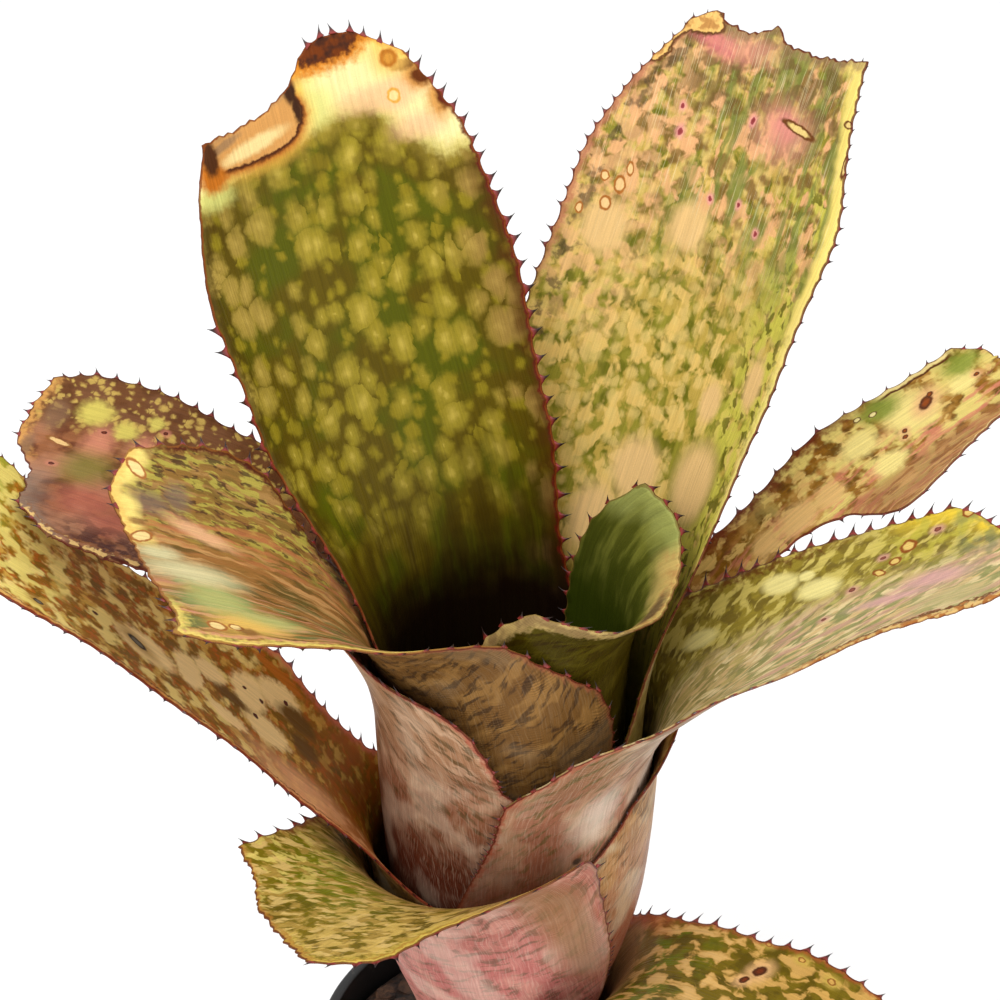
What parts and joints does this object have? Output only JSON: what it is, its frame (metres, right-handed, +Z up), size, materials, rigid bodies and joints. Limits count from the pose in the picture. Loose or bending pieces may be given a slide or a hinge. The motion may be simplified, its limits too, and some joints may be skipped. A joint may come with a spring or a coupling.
{
  "type": "potted tank bromeliad",
  "caption": "Tank bromeliad with broad, spiny, mottled strap leaves nested in an upright tube, standing in bark mix in a round tapered pot.",
  "frame": {"origin": "middle of the flat underside of the pot", "axes": "+Z up along the plant's tube of leaves; -Y is the front, where the leaf tube's front rim and the low front leaf show; +X to the right"},
  "size_m": [0.2696, 0.1664, 0.3542],
  "materials": {
    "pot": "black moulded plastic, satin",
    "soil": "damp dark bark mix",
    "stem": "pale brown scarred stem",
    "leaf_green": "bright green leaf with tan lip, satin",
    "leaf_olive": "dark olive leaf with yellow-green blotches, satin",
    "leaf_streaked": "grey-green leaf with cream and pink streaks, satin",
    "leaf_cream": "cream and pink mottled olive leaf, satin",
    "leaf_red": "red-brown leaf with cream blotches, satin"
  },
  "bodies": {
    "root": {"pot": "pot", "soil": "soil", "stem": "stem", "leaf_01_heart": "leaf_green", "leaf_02_back_left": "leaf_olive", "leaf_03_front_left": "leaf_streaked", "leaf_04_back_right": "leaf_cream", "leaf_05_left": "leaf_red", "leaf_06_right_front": "leaf_streaked", "leaf_07_right_back": "leaf_cream", "leaf_08_low_left": "leaf_red", "leaf_09_low_front": "leaf_olive", "leaf_10_low_right": "leaf_olive"}
  },
  "joints": []
}
